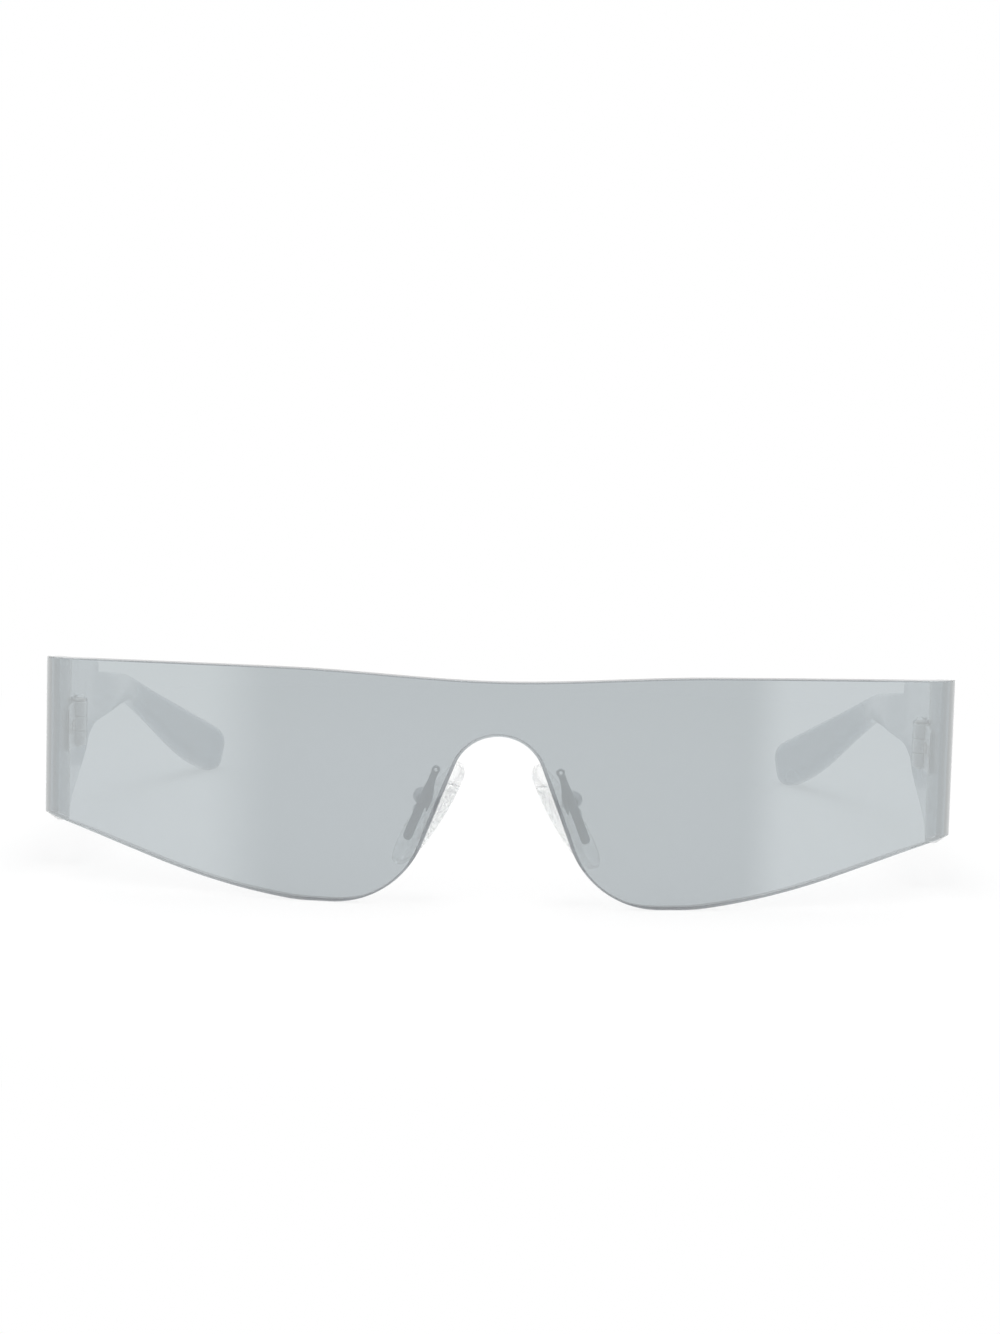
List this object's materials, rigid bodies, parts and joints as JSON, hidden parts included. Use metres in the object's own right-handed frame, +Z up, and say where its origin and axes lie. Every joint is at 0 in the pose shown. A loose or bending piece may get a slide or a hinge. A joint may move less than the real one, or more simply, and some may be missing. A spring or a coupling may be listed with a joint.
{
  "type": "sunglasses",
  "caption": "Rimless sunglasses with a one-piece wrapped mirror shield lens, full-height side panels on slim folding temples and clear adjustable nose pads.",
  "frame": {"origin": "Bottom centre of the bounding box, on the surface that the open pair stands on", "axes": "Z up, X across the shield with the wearer's left at +X, the shield faces -Y and the temples run back along +Y"},
  "size_m": [0.147, 0.139, 0.0372],
  "materials": {
    "mirror_lens": "thin silvery mirror coat over a pale grey polycarbonate shield, gloss",
    "temple": "satin silver-grey moulded nylon",
    "hinge": "satin nickel silver",
    "screw": "turned stainless steel",
    "bracket": "gunmetal grey stamped steel",
    "core": "clear hard polycarbonate",
    "pad": "clear silicone with a matt grip"
  },
  "bodies": {
    "front": {"shield_lens": "mirror_lens", "hinge_front_leaf_left": "hinge", "hinge_screw_left": "screw", "front_leaf_screw_fore_left": "screw", "front_leaf_screw_aft_left": "screw", "nose_bracket_left": "bracket", "bracket_peg_upper_left": "screw", "bracket_peg_lower_left": "screw", "pad_arm_left": "bracket", "pad_box_left": "bracket", "pad_screw_left": "screw", "hinge_front_leaf_right": "hinge", "hinge_screw_right": "screw", "front_leaf_screw_fore_right": "screw", "front_leaf_screw_aft_right": "screw", "nose_bracket_right": "bracket", "bracket_peg_upper_right": "screw", "bracket_peg_lower_right": "screw", "pad_arm_right": "bracket", "pad_box_right": "bracket", "pad_screw_right": "screw"},
    "temple_arm_left": {"temple_left": "temple", "hinge_temple_leaf_left": "hinge", "temple_leaf_screw_fore_left": "screw", "temple_leaf_screw_aft_left": "screw"},
    "temple_arm_right": {"temple_right": "temple", "hinge_temple_leaf_right": "hinge", "temple_leaf_screw_fore_right": "screw", "temple_leaf_screw_aft_right": "screw"},
    "pad_left": {"nose_pad_left": "pad", "pad_core_left": "core"},
    "pad_right": {"nose_pad_right": "pad", "pad_core_right": "core"}
  },
  "joints": [
    {"name": "temple_left_fold", "type": "hinge", "parent": "front", "child": "temple_arm_left", "pos_m": [0.06966, -0.03902, 0.0236], "axis": [0, 0, 1], "range_deg": [0, 90]},
    {"name": "temple_right_fold", "type": "hinge", "parent": "front", "child": "temple_arm_right", "pos_m": [-0.06966, -0.03902, 0.0236], "axis": [0, 0, -1], "range_deg": [0, 82]},
    {"name": "pad_left_rock", "type": "hinge", "parent": "front", "child": "pad_left", "pos_m": [0.01183, -0.06282, 0.01655], "axis": [0.3177, 0.9272, 0.1985], "range_deg": [-8, 8]},
    {"name": "pad_right_rock", "type": "hinge", "parent": "front", "child": "pad_right", "pos_m": [-0.01183, -0.06282, 0.01655], "axis": [0.3177, -0.9272, -0.1985], "range_deg": [-8, 8]}
  ]
}
